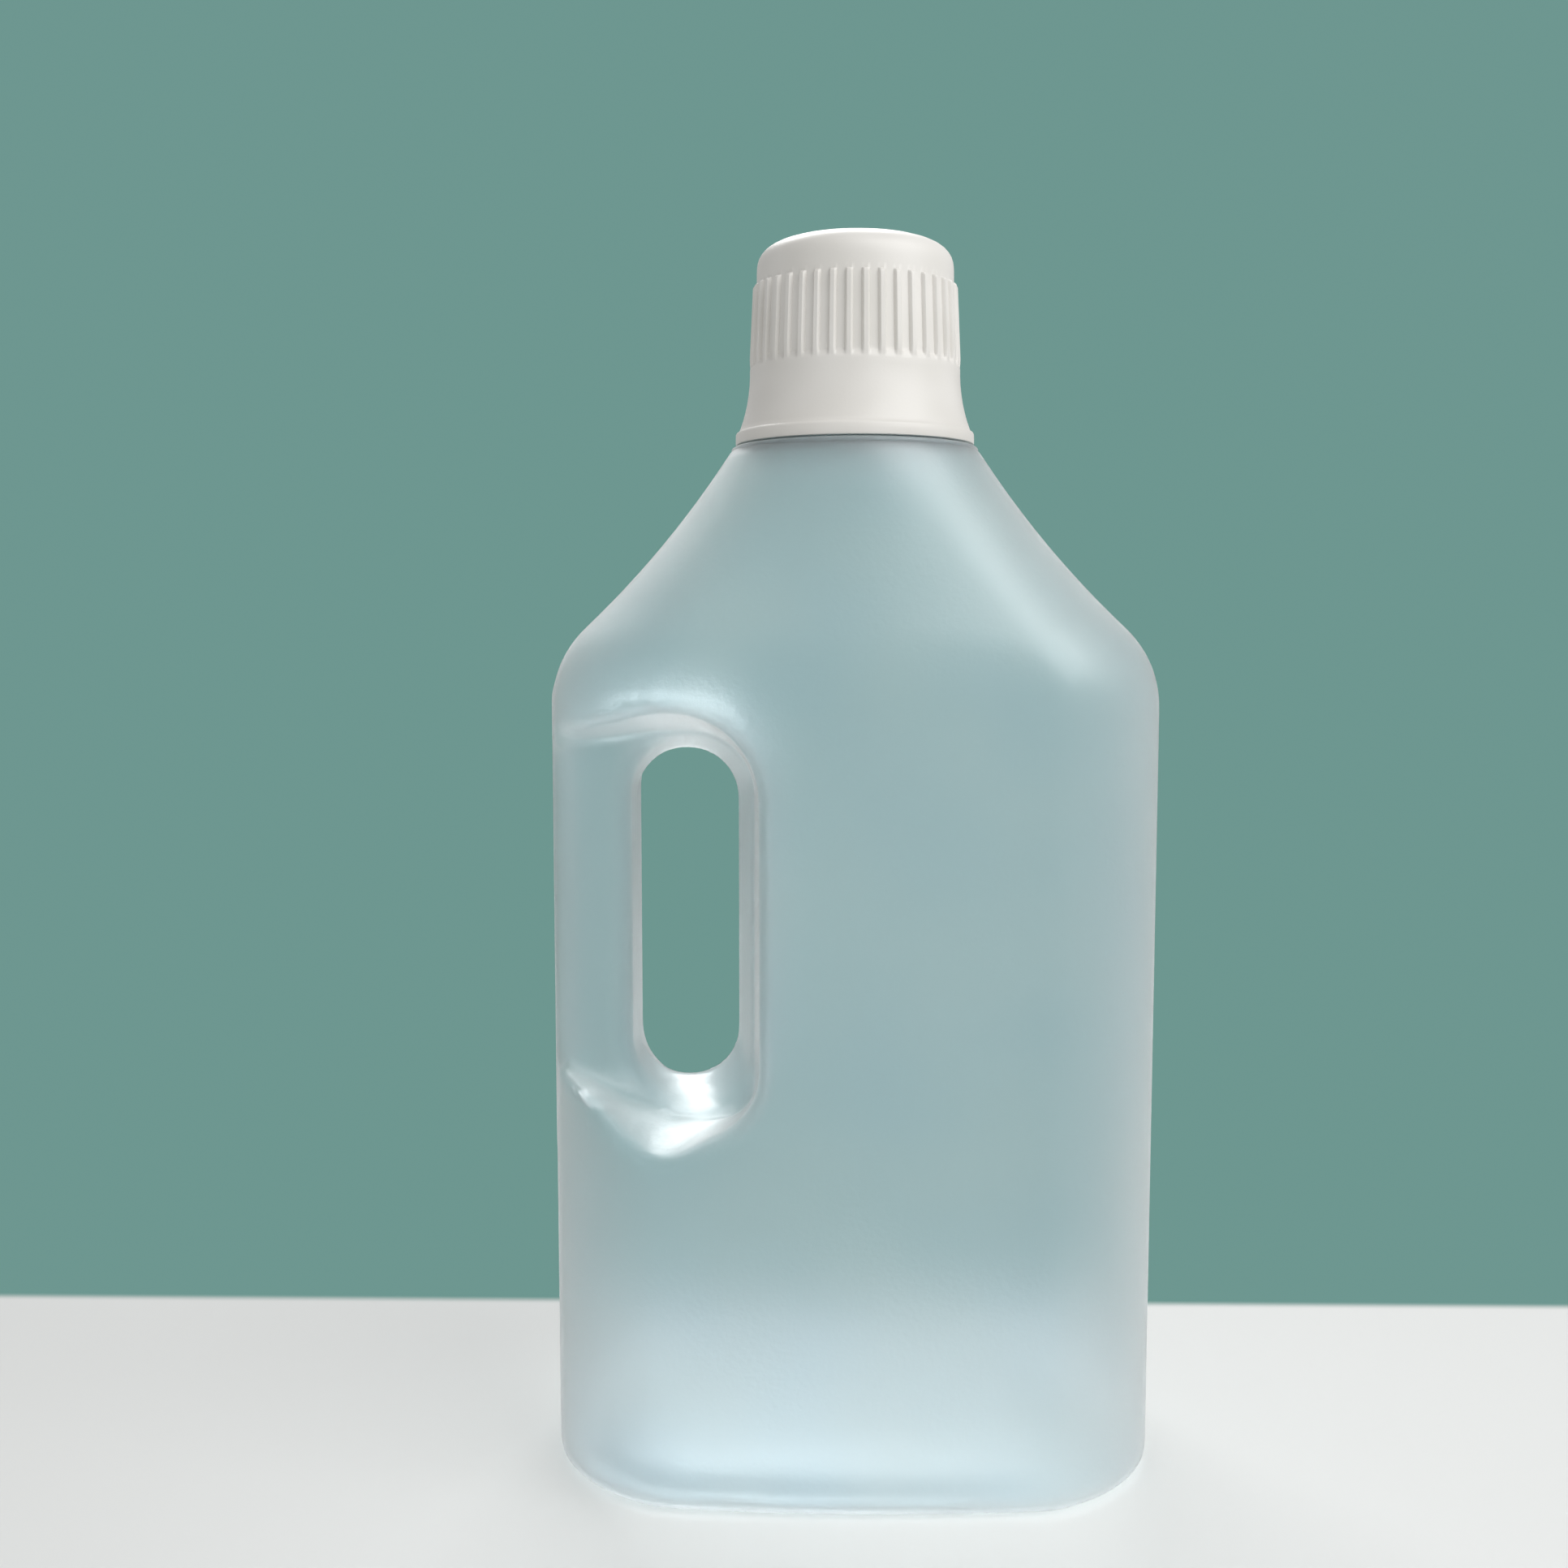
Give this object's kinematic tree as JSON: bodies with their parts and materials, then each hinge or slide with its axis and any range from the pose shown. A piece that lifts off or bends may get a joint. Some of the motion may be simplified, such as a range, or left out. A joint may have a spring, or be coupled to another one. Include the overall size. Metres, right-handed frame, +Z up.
{
  "type": "floor cleaner bottle",
  "caption": "Translucent blow-moulded floor cleaner bottle with a through handle at one side, a sloping shoulder and a ribbed white screw cap.",
  "frame": {"origin": "middle of the footprint, on the surface that the bottle stands on", "axes": "+Z up along the neck, -Y out of the front face, -X towards the handle"},
  "size_m": [0.1438, 0.0918, 0.2915],
  "materials": {
    "bottle": "natural translucent polyethylene, frosted",
    "cap": "white moulded polypropylene, satin",
    "cap_liner": "soft foamed sheet"
  },
  "bodies": {
    "bottle": {"bottle": "bottle"},
    "liner": {"cap_liner": "cap_liner"},
    "cap": {"cap": "cap"}
  },
  "joints": [
    {"name": "cap_rise", "type": "slide", "parent": "bottle", "child": "liner", "axis": [0, 0, 1], "range_m": [0, 0.00675]},
    {"name": "cap_turn", "type": "hinge", "parent": "liner", "child": "cap", "pos_m": [0, 0, 0.26], "axis": [0, 0, 1], "range_deg": [0, 540]}
  ],
  "couplings": [
    {"joint": "cap_rise", "follows": "cap_turn", "m_per_rad": 0.0007162}
  ]
}
